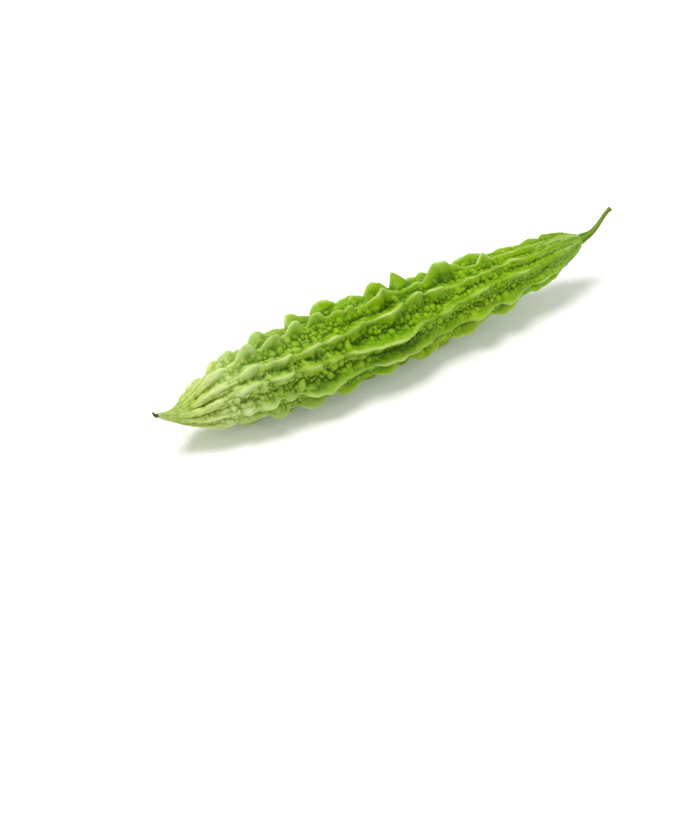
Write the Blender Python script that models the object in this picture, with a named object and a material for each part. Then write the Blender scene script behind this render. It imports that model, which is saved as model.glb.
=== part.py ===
"""A bitter gourd as picked, lying on its side: the warty fruit, its cut stalk and the dried flower rest.

Lengths are in metres, +Z is up, and the fruit lies along X on the plane Z = 0 with its flower end at -X.
The origin is the centre of the underside of the bounding box.
Angles round the fruit are counted from the -Y side up towards +Z.
"""

import math

import bmesh
import bpy
import numpy as np

MM = 0.001

# The fruit between its ridges and warts: (along, radius) in millimetres, from the flower end
BODY_LENGTH = 250 * MM
FLOOR_PROFILE = [(0, 1.2), (6, 2.4), (12, 3.9), (20, 6.2), (32, 9.8), (55, 13.8), (85, 15.8), (115, 15.4),
                 (150, 14.0), (185, 11.8), (215, 9.2), (236, 6.9), (244, 5.3), (248, 3.9), (250, 2.5)]
# Height of its middle line over the ground: (along, height) in millimetres
AXIS_PROFILE = [(0, 23.2), (4, 21.0), (8, 19.5), (14, 18.4), (24, 18.2), (38, 19.0), (60, 20.0), (110, 20.6),
                (140, 20.6), (180, 21.3), (225, 22.4), (250, 24.8)]
SIDE_BEND = 0.5 * MM  # how far both ends bend to +Y
SWELL_HEIGHT = 0.5 * MM  # how far the round body is out of true
SWELL_LENGTH = 26 * MM

# Ridges run from end to end, each a row of lobes with low saddles between them
RIDGE_COUNT = 11
FIRST_RIDGE_ANGLE = math.radians(24.5)
RIDGE_WANDER = 1.4 * MM
WANDER_LENGTH = 15 * MM
RIDGE_WAVER = 0.7 * MM
WAVER_LENGTH = 5 * MM
RIDGE_HALF_WIDTH = 5.2 * MM
CREST_ROUND = 0.25 * MM
FLANK_POWER = 1.6  # higher is a thinner crest on a wider foot
PLEAT_DEPTH = 0.3  # how far the flanks go in and out along a ridge
PLEAT_LENGTH = 2.4 * MM
HEIGHT_GAIN = 1.35  # of the lobe heights below
CREST_JITTER = 0.1
JITTER_LENGTH = 4 * MM
SADDLE_SHARE = 0.47  # height of a saddle against the mean of its lobes
LOBE_POWER = 2.2  # lower is a more pointed lobe
POINTED_LOBE_POWER = 1.15
POINTED_FROM = 6.0 * MM  # lobes higher than this are pointed
LOBE_FULLNESS = 0.75  # lower gives steeper ends

# Lobes of the ridges underneath, on the -Y side and on top: (start, peak, end, height) in millimetres
CHOSEN_LOBES = {
    7: [(14, 26, 38, 3.0), (42, 50, 60, 4.2), (64, 73, 84, 4.5), (86, 95, 104, 4.4), (107, 116, 124, 4.9),
        (127, 136, 148, 5.9), (151, 160, 172, 4.8), (176, 187, 200, 4.4), (204, 216, 232, 3.6)],
    8: [(10, 22, 34, 2.8), (37, 46, 56, 4.2), (58, 66, 75, 4.4), (78, 88, 100, 4.5), (103, 111, 120, 4.5),
        (122, 132, 142, 5.9), (146, 156, 168, 5.0), (170, 180, 192, 4.4), (196, 210, 228, 3.8)],
    9: [(5, 20, 43, 3.2), (50, 57, 64, 4.0), (66, 73, 84, 5.2), (86, 92, 105, 4.8), (109, 117, 127, 4.6),
        (131, 140, 152, 4.6), (156, 166, 178, 4.4), (182, 194, 206, 4.6), (208, 220, 238, 4.0)],
    10: [(8, 20, 34, 3.6), (35, 39, 44, 4.0), (44, 49, 56, 4.6), (56, 60, 64, 3.6), (66, 75, 103, 5.2),
         (105, 117, 148, 5.4), (164, 172, 184, 4.8), (186, 194, 206, 4.6), (208, 220, 238, 4.0)],
    0: [(8, 19, 31, 3.8), (32, 41, 49, 3.6), (50, 58, 66, 4.0), (67, 72, 80, 3.9), (81, 84, 88, 3.2),
        (89, 112, 142, 4.8), (147, 153, 160, 3.2), (166, 174, 183, 3.9), (188, 198, 212, 3.2),
        (219, 230, 242, 2.4)],
    1: [(13, 24, 36, 4.2), (37, 46, 53, 4.6), (53, 60, 68, 5.0), (70, 76, 83, 4.6), (83, 88, 93, 4.4),
        (94, 101, 109, 5.0), (112, 126, 133, 5.4), (131, 139, 146, 6.4), (145, 151, 158, 4.8),
        (166, 171, 177, 3.0), (190, 202, 216, 3.0), (222, 234, 246, 2.4)],
    2: [(19, 28, 40, 4.4), (41, 50, 54, 5.8), (55, 61, 69, 5.4), (70, 75, 81, 5.6), (82, 87, 93, 5.4),
        (94, 98, 103, 4.8), (101, 105, 109, 4.4), (113, 123, 134, 7.6), (140, 145, 150, 3.0),
        (148, 158, 178, 7.7), (181, 186, 193, 6.6), (194, 205, 217, 2.8), (224, 236, 247, 2.2)],
    3: [(30, 36, 41, 4.2), (40, 44, 49, 4.8), (54, 59, 66, 5.6), (75, 79, 92, 6.2), (90, 97, 108, 5.8),
        (111, 115, 118, 3.4), (119, 127, 137, 5.2), (136, 140, 149, 6.6), (151, 155, 161, 3.0),
        (172, 184, 196, 4.4), (196, 202, 208, 2.6), (227, 230, 245, 4.2)],
}
# Where those ridges leave their even spacing: (along, turn) in millimetres and degrees
RIDGE_TURNS = {
    10: [(0, 0), (90, -3), (250, 0)],
    0: [(0, 0), (40, 6), (75, 5), (90, 1), (122, -8), (146, 0), (195, 11), (250, 0)],
    1: [(0, 0), (60, 0), (126, 3), (139, 7), (151, 1), (200, 6), (250, 0)],
    2: [(0, 0), (150, 0), (160, 4), (186, -4), (250, 0)],
}
# Lobes of the other ridges follow a rule
LOBE_LENGTHS = (11 * MM, 26 * MM)
LOBE_GAPS = (0.5 * MM, 5 * MM)
LOBE_HEIGHTS = (4.0 * MM, 5.6 * MM)

# The relief grows from nothing at the flower end and dies down towards the stalk
RELIEF_FULL_FROM = 30 * MM
RELIEF_FADES_FROM = 180 * MM
RIDGES_AT_STALK = 0.42
WARTS_AT_STALK = 0.32
LUMPS_AT_STALK = 0.6

# Warts fill the valleys, the big ones laid first, and are smaller towards the stalk
WART_RADII = [(1.9 * MM, 2.7 * MM), (1.3 * MM, 1.9 * MM), (0.9 * MM, 1.3 * MM), (0.65 * MM, 0.9 * MM)]
WART_TRIES = [600, 3500, 20000, 50000]
WART_CROWDING = 0.75  # share of two radii that must lie between two warts
WART_HEIGHT_SHARE = 0.88  # of the radius
WART_DOME_POWER = 0.7
WART_WARP = 0.6 * MM  # how far a wart is out of round
WART_WARP_LENGTH = 4.5 * MM
WART_FREE = 1.4 * MM  # beside each crest
WART_LIMIT = 4.2 * MM  # no warts on what stands higher
SMALLER_WARTS_FROM = 100 * MM
SMALLER_WART_SIZE = 0.85
# Near both ends the crests are rounder, and folds with sharp creases between them run lengthwise
END_ROUND = 1.3 * MM
FOLD_HEIGHT = 0.9 * MM
FOLD_LENGTH = 12 * MM
FOLDS_ROUND = 40
# Small lumps over everything that stands up
LUMP_HEIGHT = 0.3 * MM
LUMP_LENGTH = 3.2 * MM
# Round swellings with sharp creases between them
CRUMPLE_HEIGHT = 0.9 * MM
CRUMPLE_LENGTH = 5.5 * MM

# The stalk from its root in the fruit to the cut: (along, up, radius) in millimetres from the fruit's end
STALK_ROUTE = [(-4.0, 0.0, 1.5), (-2.0, 0.0, 1.5), (0.25, 0.0, 1.5), (0.32, 0.0, 2.5), (0.9, 0.05, 2.45),
               (1.6, 0.3, 2.35), (3.2, 0.7, 2.1), (5.2, 0.95, 1.8), (7.3, 1.4, 1.5), (9.6, 2.6, 1.3),
               (12.0, 4.5, 1.12), (14.5, 7.1, 1.02), (17.3, 9.8, 1.0), (19.2, 11.0, 1.12), (19.9, 11.4, 1.2)]
STALK_SIDES = 12
STALK_SOCKET = (1.8 * MM, 4.3 * MM)  # radius and depth
# The dried rest of the flower from its root in the fruit to its end: (back, up, radius) in millimetres
FLOWER_ROUTE = [(-1.6, 0.0, 0.5), (0.25, 0.0, 0.5), (0.32, 0.0, 1.1), (0.7, 0.05, 0.95), (1.2, 0.45, 0.8),
                (1.7, 1.1, 0.68), (2.1, 1.9, 0.6), (2.2, 2.6, 0.42)]
FLOWER_SIDES = 8
FLOWER_SOCKET = (0.8 * MM, 1.9 * MM)
SEED = 7

RINGS = 420
SIDES = 168
BODY_TRIANGLES = 10600

SKIN_GREEN = (0.28, 0.48, 0.06)
STALK_GREEN = (0.16, 0.33, 0.05)
FLOWER_BROWN = (0.09, 0.06, 0.02)


def clear_scene():
    for obj in list(bpy.data.objects):
        bpy.data.objects.remove(obj, do_unlink=True)


def material(name, colour, roughness):
    made = bpy.data.materials.new(name)
    made.use_nodes = True
    shader = made.node_tree.nodes["Principled BSDF"]
    shader.inputs["Base Color"].default_value = (*colour, 1)
    shader.inputs["Roughness"].default_value = roughness
    shader.inputs["Metallic"].default_value = 0
    return made


def smoothstep(x):
    x = np.clip(x, 0, 1)
    return x * x * (3 - 2 * x)


def smooth_curve(points, x):
    """A smooth curve through points given in millimetres."""
    px, py = np.array(points, float).T * MM
    step = np.diff(px)
    slope = np.diff(py) / step
    tangent = np.zeros(len(px))
    tangent[1:-1] = np.where(slope[1:] * slope[:-1] > 0, (slope[1:] + slope[:-1]) / 2, 0)
    tangent[0], tangent[-1] = slope[0], slope[-1]
    x = np.clip(x, px[0], px[-1])
    k = np.clip(np.searchsorted(px, x, side="right") - 1, 0, len(step) - 1)
    t = (x - px[k]) / step[k]
    a, b = py[k], py[k + 1]
    m, n = tangent[k] * step[k], tangent[k + 1] * step[k]
    ends = (2 * t**3 - 3 * t**2 + 1) * a + (3 * t**2 - 2 * t**3) * b
    return ends + (t**3 - 2 * t**2 + t) * m + (t**3 - t**2) * n


def floor_radius(along):
    return smooth_curve(FLOOR_PROFILE, along)


def axis_point(along):
    away = SIDE_BEND * (2 * along / BODY_LENGTH - 1) ** 2
    return along - BODY_LENGTH / 2, away, smooth_curve(AXIS_PROFILE, along)


def noise(along, angle, length, seed, turns=0):
    """Smooth noise from -1 to 1 with lumps of about the given length, closed round the fruit."""
    turns = turns or max(3, round(2 * math.pi * 17 * MM / length))
    rows = int(BODY_LENGTH / length) + 3
    grid = np.random.default_rng(seed).uniform(-1, 1, (rows, turns))
    u = np.clip(along / length, 0, rows - 2)
    v = (angle / (2 * math.pi)) % 1 * turns
    i, j = np.floor(u).astype(int), np.floor(v).astype(int)
    a, b = smoothstep(u - i), smoothstep(v - j)
    i1, j0, j1 = np.minimum(i + 1, rows - 1), j % turns, (j + 1) % turns
    low = grid[i, j0] * (1 - b) + grid[i, j1] * b
    high = grid[i1, j0] * (1 - b) + grid[i1, j1] * b
    return low * (1 - a) + high * a


def creased(along, angle, length, seed, turns=0):
    """Round swellings from 0 to 1 with sharp, crooked creases between them."""
    turns = turns or round(2 * math.pi * 17 * MM / length)
    along_warp = along + 0.25 * length * noise(along, angle, length, seed + 20, turns // 2)
    angle_warp = angle + 1.5 / turns * noise(along, angle, length, seed + 30, turns // 2)
    return np.abs(noise(along_warp, angle_warp, length, seed, turns))


def relief_strength(along, at_stalk):
    rise = smoothstep(along / RELIEF_FULL_FROM) ** 0.8
    fade = smoothstep((along - RELIEF_FADES_FROM) / (BODY_LENGTH - RELIEF_FADES_FROM))
    return rise * (1 - (1 - at_stalk) * fade)


def near_ends(along):
    return 1 - smoothstep((along - 22 * MM) / (38 * MM)) + 0.8 * smoothstep((along - 190 * MM) / (35 * MM))


def ridge_angle(number, along):
    turn = FIRST_RIDGE_ANGLE + 2 * math.pi * number / RIDGE_COUNT
    row = np.full_like(along, turn)
    shift = noise(along, row, WANDER_LENGTH, SEED + 2) * RIDGE_WANDER
    shift += noise(along, row, WAVER_LENGTH, SEED + 15) * RIDGE_WAVER
    own = smooth_curve(RIDGE_TURNS[number], along) / MM if number in RIDGE_TURNS else 0
    return turn + np.radians(own) + shift * relief_strength(along, WARTS_AT_STALK) / (14 * MM)


def lobes_by_rule(rng):
    lobes = []
    start = rng.uniform(6, 14) * MM
    while start < BODY_LENGTH - 14 * MM:
        end = min(start + rng.uniform(*LOBE_LENGTHS), BODY_LENGTH - 4 * MM)
        peak = start + (end - start) * rng.uniform(0.3, 0.5)
        lobes.append((start, peak, end, rng.uniform(*LOBE_HEIGHTS)))
        start = end + rng.uniform(*LOBE_GAPS)
    return lobes


def all_lobes():
    rng = np.random.default_rng(SEED)
    ridges = {}
    for number in range(RIDGE_COUNT):
        if number in CHOSEN_LOBES:
            ridges[number] = [tuple(v * MM for v in lobe) for lobe in CHOSEN_LOBES[number]]
        else:
            ridges[number] = lobes_by_rule(rng)
    return ridges


def crest_height(lobes, along):
    height = np.zeros_like(along)
    for start, peak, end, top in lobes:
        away = np.where(along < peak, (peak - along) / (peak - start), (along - peak) / (end - peak))
        power = POINTED_LOBE_POWER if top > POINTED_FROM else LOBE_POWER
        height = np.maximum(height, top * np.clip(1 - np.clip(away, 0, 1) ** power, 0, 1) ** LOBE_FULLNESS)
    mean = np.mean([lobe[-1] for lobe in lobes])
    reach = smoothstep(along / (20 * MM)) * smoothstep((BODY_LENGTH - along) / (20 * MM))
    return np.maximum(height, SADDLE_SHARE * mean * reach)


def turn_between(angle, other):
    return (angle - other + math.pi) % (2 * math.pi) - math.pi


def ridge_relief(along, angle):
    radius = floor_radius(along)
    relief = np.zeros_like(along)
    for number, lobes in all_lobes().items():
        across = np.abs(turn_between(angle, ridge_angle(number, along))) * (radius + 2 * MM)
        row = np.full_like(along, 2 * math.pi * number / RIDGE_COUNT)
        jitter = 1 + CREST_JITTER * noise(along, row, JITTER_LENGTH, SEED + 6)
        crest = crest_height(lobes, along) * jitter * HEIGHT_GAIN
        width = RIDGE_HALF_WIDTH * np.clip(radius / (14 * MM), 0.1, 1)
        bend = CREST_ROUND + END_ROUND * near_ends(along)
        rounded = np.hypot(across, bend) - bend
        section = np.clip(1 - rounded / width, 0, 1) ** FLANK_POWER
        section *= 1 + PLEAT_DEPTH * noise(along, row, PLEAT_LENGTH, SEED + 5) * (1 - section)
        relief = np.maximum(relief, crest * section)
    return relief * relief_strength(along, RIDGES_AT_STALK)


def lay_warts():
    """Centres (along, angle), radii and heights of the warts, none on a crest and none over another."""
    rng = np.random.default_rng(SEED + 1)
    found = np.empty((20000, 4))
    count = 0
    for (low, high), tries in zip(WART_RADII, WART_TRIES):
        along = rng.uniform(10 * MM, BODY_LENGTH - 5 * MM, tries)
        angle = rng.uniform(-math.pi, math.pi, tries)
        radius = floor_radius(along)
        small = smoothstep((along - SMALLER_WARTS_FROM) / (40 * MM))
        size = rng.uniform(low, high, tries) * (1 - (1 - SMALLER_WART_SIZE) * small)
        height = rng.uniform(0.75, 1.1, tries)
        ridges = np.stack([ridge_angle(k, along) for k in range(RIDGE_COUNT)])
        to_ridge = np.abs(turn_between(angle, ridges)).min(0) * (radius + 2 * MM)
        room = WART_FREE * np.clip(radius / (13 * MM), 0.12, 1)
        kept = (to_ridge > room + size * 0.5) & (rng.uniform(size=tries) < (radius + 4 * MM) / (18 * MM))
        for k in np.nonzero(kept)[0]:
            others = found[:count]
            gap = np.hypot(others[:, 0] - along[k], turn_between(others[:, 1], angle[k]) * (radius[k] + MM))
            if (gap < WART_CROWDING * (others[:, 2] + size[k])).any():
                continue
            found[count] = along[k], angle[k], size[k], height[k]
            count += 1
    return found[:count]


def wart_relief(along, angle):
    """Height of the warts on a grid whose rows run along the fruit."""
    relief = np.zeros_like(along)
    rows = along[:, 0]
    along_warp = along + WART_WARP * noise(along, angle, WART_WARP_LENGTH, SEED + 7)
    angle_warp = angle + WART_WARP / (15 * MM) * noise(along, angle, WART_WARP_LENGTH, SEED + 8)
    for centre, turn, size, height in lay_warts():
        stretch = 1 + 1.2 * (1 - float(relief_strength(centre, WARTS_AT_STALK)))
        near = np.nonzero(np.abs(rows - centre) < size * stretch + WART_WARP)[0]
        if not len(near):
            continue
        patch = slice(near[0], near[-1] + 1)
        across = turn_between(angle_warp[patch], turn) * (floor_radius(along[patch]) + MM)
        from_centre = ((along_warp[patch] - centre) / (size * stretch)) ** 2 + (across / size) ** 2
        dome = np.clip(1 - from_centre, 0, 1) ** WART_DOME_POWER
        relief[patch] = np.maximum(relief[patch], dome * size * height * WART_HEIGHT_SHARE)
    return relief * relief_strength(along, WARTS_AT_STALK)


def fold_relief(along, angle):
    folds = creased(along, angle, FOLD_LENGTH, SEED + 9, FOLDS_ROUND) ** 0.6
    return FOLD_HEIGHT * folds * near_ends(along) * np.clip(floor_radius(along) / (9 * MM), 0.1, 1)


def surface_radius(along, angle):
    ridges = ridge_relief(along, angle)
    relief = ridges + wart_relief(along, angle) * (1 - smoothstep(ridges / WART_LIMIT))
    lumps = LUMP_HEIGHT * noise(along, angle, LUMP_LENGTH, SEED + 3) * np.clip(relief / (3 * MM), 0.2, 1)
    swell = SWELL_HEIGHT * noise(along, angle, SWELL_LENGTH, SEED + 4)
    crumples = CRUMPLE_HEIGHT * (creased(along, angle, CRUMPLE_LENGTH, SEED + 14) ** 0.7 - 0.4)
    uneven = (lumps + swell + crumples) * relief_strength(along, LUMPS_AT_STALK)
    return floor_radius(along) + relief + fold_relief(along, angle) + uneven


def fruit(collection, cutters):
    """A sphere of rings along X, each point moved out to the fruit's surface, then thinned and cut."""
    bm = bmesh.new()
    bmesh.ops.create_uvsphere(bm, u_segments=SIDES, v_segments=RINGS, radius=1)
    bmesh.ops.reverse_faces(bm, faces=bm.faces)
    mesh = bpy.data.meshes.new("fruit")
    bm.to_mesh(mesh)
    bm.free()
    points = np.empty(len(mesh.vertices) * 3, np.float32)
    mesh.vertices.foreach_get("co", points)
    points = points.reshape(-1, 3).astype(float)
    ring = np.rint(np.arccos(np.clip(-points[:, 2], -1, 1)) / math.pi * RINGS).astype(int)
    side = np.rint(np.arctan2(points[:, 1], points[:, 0]) / (2 * math.pi) * SIDES).astype(int) % SIDES
    along, angle = np.meshgrid(
        np.arange(RINGS + 1) / RINGS * BODY_LENGTH, np.arange(SIDES) / SIDES * 2 * math.pi, indexing="ij"
    )
    radius = surface_radius(along, angle)
    radius[0] = radius[-1] = 0
    x, y, z = axis_point(along)
    grid = np.stack([x, y - radius * np.cos(angle), z + radius * np.sin(angle)], -1)
    mesh.vertices.foreach_set("co", grid[ring, side].astype(np.float32).ravel())
    mesh.update()
    obj = new_object("fruit", mesh, material("waxy_green_skin", SKIN_GREEN, 0.45), collection)
    thin = obj.modifiers.new("thin", "DECIMATE")
    thin.ratio = BODY_TRIANGLES / (2 * SIDES * (RINGS - 1))
    for cutter in cutters:
        cut = obj.modifiers.new(cutter.name, "BOOLEAN")
        cut.operation = "DIFFERENCE"
        cut.solver = "EXACT"
        cut.object = cutter
    return obj


def new_object(name, mesh, surface, collection):
    obj = bpy.data.objects.new(name, mesh)
    collection.objects.link(obj)
    mesh.materials.clear()
    mesh.materials.append(surface)
    mesh.shade_smooth()
    return obj


def new_cutter(name, collection):
    """Makes a cutter of the newest primitive."""
    obj = bpy.context.object
    obj.name = name
    obj.hide_render = True
    obj.display_type = "WIRE"
    for home in obj.users_collection:
        home.objects.unlink(obj)
    collection.objects.link(obj)
    return obj


def socket(name, end, outwards, size, collection):
    """A round hole along X from an end of the fruit inwards."""
    radius, depth = size
    over = 5 * MM
    middle = end + np.array([outwards * (over - depth) / 2, 0, 0])
    bpy.ops.mesh.primitive_cylinder_add(
        vertices=24, radius=radius, depth=depth + over, location=middle, rotation=(0, math.pi / 2, 0)
    )
    return new_cutter(name, collection)


def tube(name, end, outwards, route, sides, surface, collection):
    """A bevelled curve with filled caps along a route that starts inside the fruit."""
    curve = bpy.data.curves.new(name, "CURVE")
    curve.dimensions = "3D"
    curve.bevel_depth = 1
    curve.bevel_resolution = sides // 2 - 2
    curve.use_fill_caps = True
    line = curve.splines.new("POLY")
    line.points.add(len(route) - 1)
    for point, (out, up, radius) in zip(line.points, route):
        point.co = (end[0] + outwards * out * MM, end[1], end[2] + up * MM, 1)
        point.radius = radius * MM
    draft = bpy.data.objects.new(name + "_curve", curve)
    collection.objects.link(draft)
    bpy.context.view_layer.update()
    mesh = bpy.data.meshes.new_from_object(draft.evaluated_get(bpy.context.evaluated_depsgraph_get()))
    bpy.data.objects.remove(draft, do_unlink=True)
    bm = bmesh.new()
    bm.from_mesh(mesh)
    bmesh.ops.remove_doubles(bm, verts=bm.verts, dist=0.00001)
    bmesh.ops.recalc_face_normals(bm, faces=bm.faces)
    bm.to_mesh(mesh)
    bm.free()
    mesh.name = name
    return new_object(name, mesh, surface, collection)


def centre_on_ground(collection, cutters):
    """Moves everything so that the origin is the centre of the underside of the bounding box."""
    bpy.context.view_layer.update()
    graph = bpy.context.evaluated_depsgraph_get()
    points = []
    for obj in collection.objects:
        mesh = obj.evaluated_get(graph).to_mesh()
        found = np.empty(len(mesh.vertices) * 3, np.float32)
        mesh.vertices.foreach_get("co", found)
        points.append(found.reshape(-1, 3))
        obj.evaluated_get(graph).to_mesh_clear()
    points = np.concatenate(points).astype(float)
    middle = (points.min(0) + points.max(0)) / 2
    for obj in list(collection.objects) + cutters:
        obj.location.x -= middle[0]
        obj.location.y -= middle[1]


def main():
    clear_scene()
    gourd = bpy.data.collections.new("bitter_gourd")
    tools = bpy.data.collections.new("cutters")
    bpy.context.scene.collection.children.link(gourd)
    bpy.context.scene.collection.children.link(tools)
    stalk_end = np.array([float(v) for v in axis_point(np.array(BODY_LENGTH))])
    flower_end = np.array([float(v) for v in axis_point(np.array(0.0))])
    bpy.ops.mesh.primitive_cube_add(size=1, location=(0, 0, -0.05), scale=(0.4, 0.2, 0.1))
    ground = new_cutter("ground", tools)
    cutters = [
        ground,
        socket("stalk_socket", stalk_end, 1, STALK_SOCKET, tools),
        socket("flower_socket", flower_end, -1, FLOWER_SOCKET, tools),
    ]
    fruit(gourd, cutters)
    tube("stem", stalk_end, 1, STALK_ROUTE, STALK_SIDES, material("green_stalk", STALK_GREEN, 0.6), gourd)
    dry = material("dried_flower", FLOWER_BROWN, 0.8)
    tube("blossom_tip", flower_end, -1, FLOWER_ROUTE, FLOWER_SIDES, dry, gourd)
    centre_on_ground(gourd, cutters)


main()
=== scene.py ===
import math
import bpy
import numpy as np
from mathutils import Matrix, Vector


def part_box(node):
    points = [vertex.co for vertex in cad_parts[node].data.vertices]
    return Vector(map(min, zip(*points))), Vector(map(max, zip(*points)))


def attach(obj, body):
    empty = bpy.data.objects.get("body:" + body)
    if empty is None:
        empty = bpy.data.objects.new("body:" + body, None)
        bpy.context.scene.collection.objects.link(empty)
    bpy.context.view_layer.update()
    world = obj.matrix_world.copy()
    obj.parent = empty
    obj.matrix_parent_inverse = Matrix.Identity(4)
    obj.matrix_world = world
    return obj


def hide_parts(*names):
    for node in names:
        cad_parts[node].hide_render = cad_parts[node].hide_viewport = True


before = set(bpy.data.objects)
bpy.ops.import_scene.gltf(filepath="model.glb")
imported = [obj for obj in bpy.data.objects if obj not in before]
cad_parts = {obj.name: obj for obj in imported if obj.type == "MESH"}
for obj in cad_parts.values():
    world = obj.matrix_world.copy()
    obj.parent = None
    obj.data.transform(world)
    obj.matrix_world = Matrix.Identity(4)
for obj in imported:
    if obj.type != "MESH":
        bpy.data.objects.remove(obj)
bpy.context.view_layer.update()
mm = 0.001
middleFromStalk = 121 * mm  # from the inner end of the stalk to the middle of the fruit
print("frame loaded")


# small helpers

def hexColour(text):
    values = [int(text[i:i + 2], 16) / 255 for i in (1, 3, 5)]
    linear = [v / 12.92 if v <= 0.04045 else ((v + 0.055) / 1.055) ** 2.4 for v in values]
    return (*linear, 1.0)


def addNode(tree, kind, settings=None, values=None, links=None, stops=None):
    node = tree.nodes.new(kind)
    for name, value in (settings or {}).items():
        setattr(node, name, value)
    for name, value in (values or {}).items():
        node.inputs[name].default_value = value
    for name, source in (links or {}).items():  # a node stands for its first output
        socket = source.outputs[0] if isinstance(source, bpy.types.Node) else source
        tree.links.new(socket, node.inputs[name])
    if stops:  # of a ramp: (place, colour), where a number is a grey
        ramp = node.color_ramp.elements
        ramp.remove(ramp[-1])
        ramp[0].position = stops[0][0]
        for k, (place, colour) in enumerate(stops):
            stop = ramp.new(place) if k else ramp[0]
            stop.color = hexColour(colour) if isinstance(colour, str) else (colour, colour, colour, 1)
    return node


def newMaterial(name):
    made = bpy.data.materials.new(name)
    made.use_nodes = True
    made.node_tree.nodes.clear()
    return made, made.node_tree


def smoothstep(x):
    x = np.clip(x, 0, 1)
    return x * x * (3 - 2 * x)


def between(value, limits):  # from 0 at the first limit to 1 at the second, eased at both
    low, high = limits
    return smoothstep((value - low) / (high - low))


def smoothCurve(points, x):  # a curve without overshoot through points given in millimetres
    px, py = np.array(points, float).T * mm
    step = np.diff(px)
    slope = np.diff(py) / step
    tangent = np.zeros(len(px))
    tangent[1:-1] = np.where(slope[1:] * slope[:-1] > 0, (slope[1:] + slope[:-1]) / 2, 0)
    tangent[0], tangent[-1] = slope[0], slope[-1]
    x = np.clip(x, px[0], px[-1])
    k = np.clip(np.searchsorted(px, x, side="right") - 1, 0, len(step) - 1)
    t = (x - px[k]) / step[k]
    leaving = (2 * t**3 - 3 * t**2 + 1) * py[k] + (t**3 - 2 * t**2 + t) * tangent[k] * step[k]
    arriving = (3 * t**2 - 2 * t**3) * py[k + 1] + (t**3 - t**2) * tangent[k + 1] * step[k]
    return leaving + arriving


def readPoints(mesh):
    flat = np.empty(len(mesh.vertices) * 3, np.float32)
    mesh.vertices.foreach_get("co", flat)
    return flat.reshape(-1, 3).astype(float)


def writePoints(mesh, points):
    mesh.vertices.foreach_set("co", points.astype(np.float32).ravel())
    mesh.update()


def writeAttribute(mesh, name, values):
    layer = mesh.attributes.new(name, "FLOAT", "POINT")
    layer.data.foreach_set("value", values.astype(np.float32))


def startPiece(name):  # gives the newest primitive its name, with all of it at the origin
    piece = bpy.context.object
    piece.name = name
    piece.data.name = name
    bpy.ops.object.transform_apply(location=True, rotation=True, scale=True)
    return piece


# camera, at the picture's angle
camera = {
    "turn": -37.8,  # degrees, from looking along +Y
    "rise": 33.0,
    "distance": 1.0,
    "focal": 2111,  # pixels
    "longSide": 817,
    "sensor": 36,  # mm
    "nearest": 0.05,  # what is closer isn't drawn
    "fruitHeight": 20 * mm,  # of the middle of the fruit
    "fruitFromCentre": (30.8, 78.8),  # pixels right and up
}
fruitMiddle = Vector((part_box("stem")[0].x - middleFromStalk, 0, camera["fruitHeight"]))
turn, rise = math.radians(camera["turn"]), math.radians(camera["rise"])
backwards = Vector((math.sin(turn) * math.cos(rise), -math.cos(turn) * math.cos(rise), math.sin(rise)))
rightwards = Vector((math.cos(turn), math.sin(turn), 0))
upwards = backwards.cross(rightwards)
perPixel = camera["distance"] / camera["focal"]
pixelsRight, pixelsUp = camera["fruitFromCentre"]
aim = fruitMiddle - rightwards * pixelsRight * perPixel - upwards * pixelsUp * perPixel
eye = fruitMiddle + backwards * camera["distance"]
bpy.ops.object.camera_add(location=eye, rotation=(eye - aim).to_track_quat("Z", "Y").to_euler())
view = bpy.context.object
view.data.sensor_width = camera["sensor"]
view.data.lens = camera["sensor"] * camera["focal"] / camera["longSide"]
view.data.clip_start = camera["nearest"]
bpy.context.scene.camera = view
print("camera placed")

# floor and light
studio = {
    "floorSize": 6.0,
    "floorHeight": -0.05 * mm,
    "floorColour": "#f4f4f2",
    "floorGlow": 0.12,
    "keyPower": 10,
    "keySize": 0.6,
    "keyPlace": (-0.3, 0.15, 1.05),
    "fillPower": 3.0,
    "fillSize": 1.2,
    "fillPlace": (0.7, -0.9, 0.7),
    "skyStrength": 0.5,
}
bpy.ops.mesh.primitive_plane_add(size=studio["floorSize"], location=(0, 0, studio["floorHeight"]))
floor = startPiece("floor")
paper, tree = newMaterial("matte_white_paper")  # no shine, so that only a soft shadow shows
shader = addNode(tree, "ShaderNodeBsdfPrincipled", values={
    "Base Color": hexColour(studio["floorColour"]),
    "Roughness": 0.9,
    "Emission Color": (1, 1, 1, 1),
    "Emission Strength": studio["floorGlow"],
})
addNode(tree, "ShaderNodeOutputMaterial", links={"Surface": shader})
floor.data.materials.append(paper)


def addSoftbox(name, place, size, power):
    turned = (Vector(place) - fruitMiddle).to_track_quat("Z", "Y").to_euler()
    bpy.ops.object.light_add(type="AREA", location=place, rotation=turned)
    lamp = bpy.context.object
    lamp.name = name
    lamp.data.shape = "DISK"
    lamp.data.size = size
    lamp.data.energy = power


addSoftbox("keyLight", studio["keyPlace"], studio["keySize"], studio["keyPower"])
addSoftbox("fillLight", studio["fillPlace"], studio["fillSize"], studio["fillPower"])
world = bpy.data.worlds.new("softWhite")
world.use_nodes = True
world.node_tree.nodes["Background"].inputs["Color"].default_value = (1, 1, 1, 1)
world.node_tree.nodes["Background"].inputs["Strength"].default_value = studio["skyStrength"]
bpy.context.scene.world = world
bpy.context.scene.view_settings.view_transform = "Standard"
print("floor and lights placed")

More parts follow.
